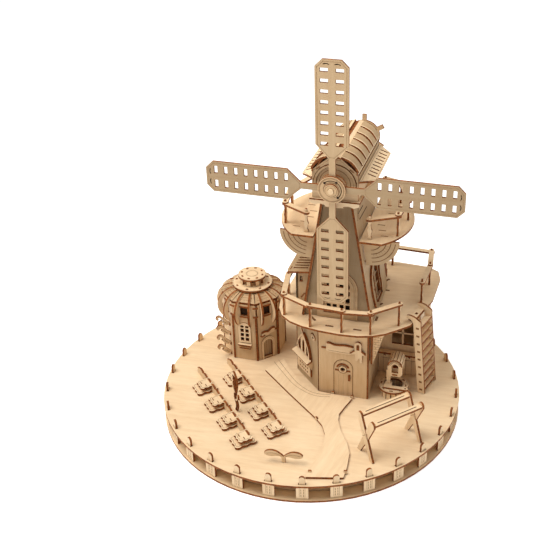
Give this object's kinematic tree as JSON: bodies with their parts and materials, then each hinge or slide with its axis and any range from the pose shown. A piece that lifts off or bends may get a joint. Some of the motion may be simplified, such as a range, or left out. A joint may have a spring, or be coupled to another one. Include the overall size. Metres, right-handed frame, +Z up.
{
  "type": "wooden 3d jigsaw model",
  "caption": "Laser-cut plywood puzzle model of a windmill manor on a round base, with sails turned by a hand wheel at the rear end of their axle.",
  "frame": {"origin": "centre of the round base's underside", "axes": "+Z up from the base through the tower; -Y is the front, where the sails and the door face; +X to the right when seen from the front"},
  "size_m": [0.28, 0.28, 0.3436],
  "materials": {
    "ply_pale": "matte laser-cut plywood face",
    "ply_warm": "matte laser-cut plywood with burnt edges"
  },
  "bodies": {
    "model": {"awning_left": "ply_pale", "balcony_left": "ply_pale", "balcony_railing_left": "ply_warm", "balcony_railing_right": "ply_warm", "balcony_right": "ply_pale", "base_bottom_plate": "ply_pale", "base_rim_stakes": "ply_warm", "base_top_plate": "ply_pale", "cap_floor": "ply_pale", "cap_gable_front": "ply_pale", "cap_gable_rear": "ply_pale", "cap_side_left": "ply_pale", "cap_side_right": "ply_pale", "cap_vault": "ply_warm", "cap_wing_left": "ply_pale", "cap_wing_right": "ply_pale", "corbels_left": "ply_warm", "corbels_right": "ply_warm", "crop_row_left": "ply_warm", "crop_row_right": "ply_warm", "deck_gusset_right": "ply_warm", "deck_railing": "ply_warm", "dome_lantern": "ply_pale", "dome_ribs": "ply_warm", "dome_ring_plate": "ply_pale", "dome_wall_front": "ply_pale", "dome_wall_front_right": "ply_pale", "dome_walls_rear": "ply_pale", "house_wall_front": "ply_pale", "house_wall_front_left": "ply_pale", "house_wall_left": "ply_pale", "house_wall_rear": "ply_pale", "house_wall_right": "ply_pale", "house_wall_wing_front": "ply_pale", "house_wall_wing_right": "ply_pale", "ladder": "ply_pale", "main_deck": "ply_pale", "path_plate": "ply_pale", "scarecrow": "ply_warm", "sprout": "ply_warm", "tower_front": "ply_pale", "tower_rear": "ply_pale", "tower_side_left": "ply_pale", "tower_side_right": "ply_pale", "tower_window": "ply_warm", "tying_rack": "ply_pale", "well": "ply_warm"},
    "sails": {"sail_top": "ply_pale", "sail_left": "ply_pale", "sail_bottom": "ply_pale", "sail_right": "ply_pale", "hub_rear_disc": "ply_pale", "hub_front_disc": "ply_pale", "hub_cap_disc": "ply_pale", "sail_axle": "ply_warm", "axle_collar": "ply_pale", "rear_collar": "ply_pale", "wheel_collar": "ply_pale", "hand_wheel": "ply_pale"}
  },
  "joints": [
    {"name": "sail_spin", "type": "hinge", "parent": "model", "child": "sails", "pos_m": [0.024, -0.0123, 0.2326], "axis": [0, -1, 0], "continuous": true}
  ]
}
